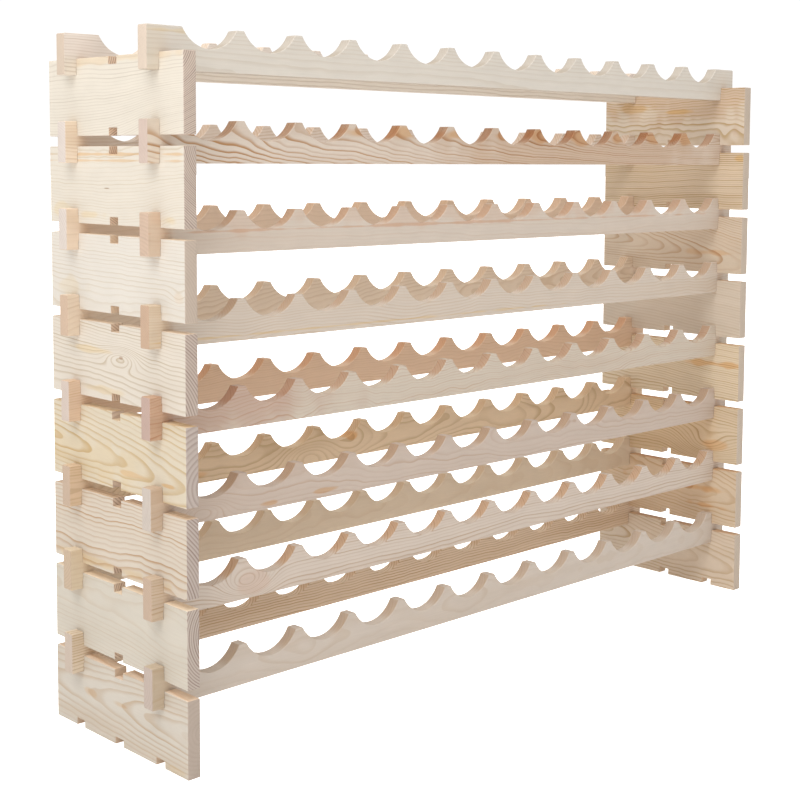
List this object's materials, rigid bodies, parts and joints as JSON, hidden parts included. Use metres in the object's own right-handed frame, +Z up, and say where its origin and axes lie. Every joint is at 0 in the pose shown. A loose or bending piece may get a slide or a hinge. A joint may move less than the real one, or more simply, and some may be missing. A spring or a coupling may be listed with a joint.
{
  "type": "wine rack",
  "caption": "Free-standing pine wine rack stacked from notched side boards and scalloped rails, holding bottles lying on their sides.",
  "frame": {"origin": "on the floor, midway between the two ends of the rails and midway from front to rear", "axes": "+X along the rails to the right as seen from the front, +Y from the front to the rear, +Z up"},
  "size_m": [1.22, 0.298, 0.907],
  "materials": {
    "side_board_pine": "bare planed pine, matte, pale cream with fine growth-ring lines",
    "rail_pine": "bare planed pine, matte, slightly pinker and greyer than the boards, cradles cut with a round cutter"
  },
  "bodies": {
    "tier_1": {"side_board_left_1": "side_board_pine", "side_board_right_1": "side_board_pine", "front_rail_1": "rail_pine", "rear_rail_1": "rail_pine"},
    "tier_2": {"side_board_left_2": "side_board_pine", "side_board_right_2": "side_board_pine", "front_rail_2": "rail_pine", "rear_rail_2": "rail_pine"},
    "tier_3": {"side_board_left_3": "side_board_pine", "side_board_right_3": "side_board_pine", "front_rail_3": "rail_pine", "rear_rail_3": "rail_pine"},
    "tier_4": {"side_board_left_4": "side_board_pine", "side_board_right_4": "side_board_pine", "front_rail_4": "rail_pine", "rear_rail_4": "rail_pine"},
    "tier_5": {"side_board_left_5": "side_board_pine", "side_board_right_5": "side_board_pine", "front_rail_5": "rail_pine", "rear_rail_5": "rail_pine"},
    "tier_6": {"side_board_left_6": "side_board_pine", "side_board_right_6": "side_board_pine", "front_rail_6": "rail_pine", "rear_rail_6": "rail_pine"},
    "tier_7": {"side_board_left_7": "side_board_pine", "side_board_right_7": "side_board_pine", "front_rail_7": "rail_pine", "rear_rail_7": "rail_pine"},
    "tier_8": {"side_board_left_8": "side_board_pine", "side_board_right_8": "side_board_pine", "front_rail_8": "rail_pine", "rear_rail_8": "rail_pine"}
  },
  "joints": [
    {"name": "tier_2_lift", "type": "slide", "parent": "tier_1", "child": "tier_2", "axis": [0, 0, 1], "range_m": [0, 0.06]},
    {"name": "tier_3_lift", "type": "slide", "parent": "tier_2", "child": "tier_3", "axis": [0, 0, 1], "range_m": [0, 0.06]},
    {"name": "tier_4_lift", "type": "slide", "parent": "tier_3", "child": "tier_4", "axis": [0, 0, 1], "range_m": [0, 0.06]},
    {"name": "tier_5_lift", "type": "slide", "parent": "tier_4", "child": "tier_5", "axis": [0, 0, 1], "range_m": [0, 0.06]},
    {"name": "tier_6_lift", "type": "slide", "parent": "tier_5", "child": "tier_6", "axis": [0, 0, 1], "range_m": [0, 0.06]},
    {"name": "tier_7_lift", "type": "slide", "parent": "tier_6", "child": "tier_7", "axis": [0, 0, 1], "range_m": [0, 0.06]},
    {"name": "tier_8_lift", "type": "slide", "parent": "tier_7", "child": "tier_8", "axis": [0, 0, 1], "range_m": [0, 0.06]}
  ]
}
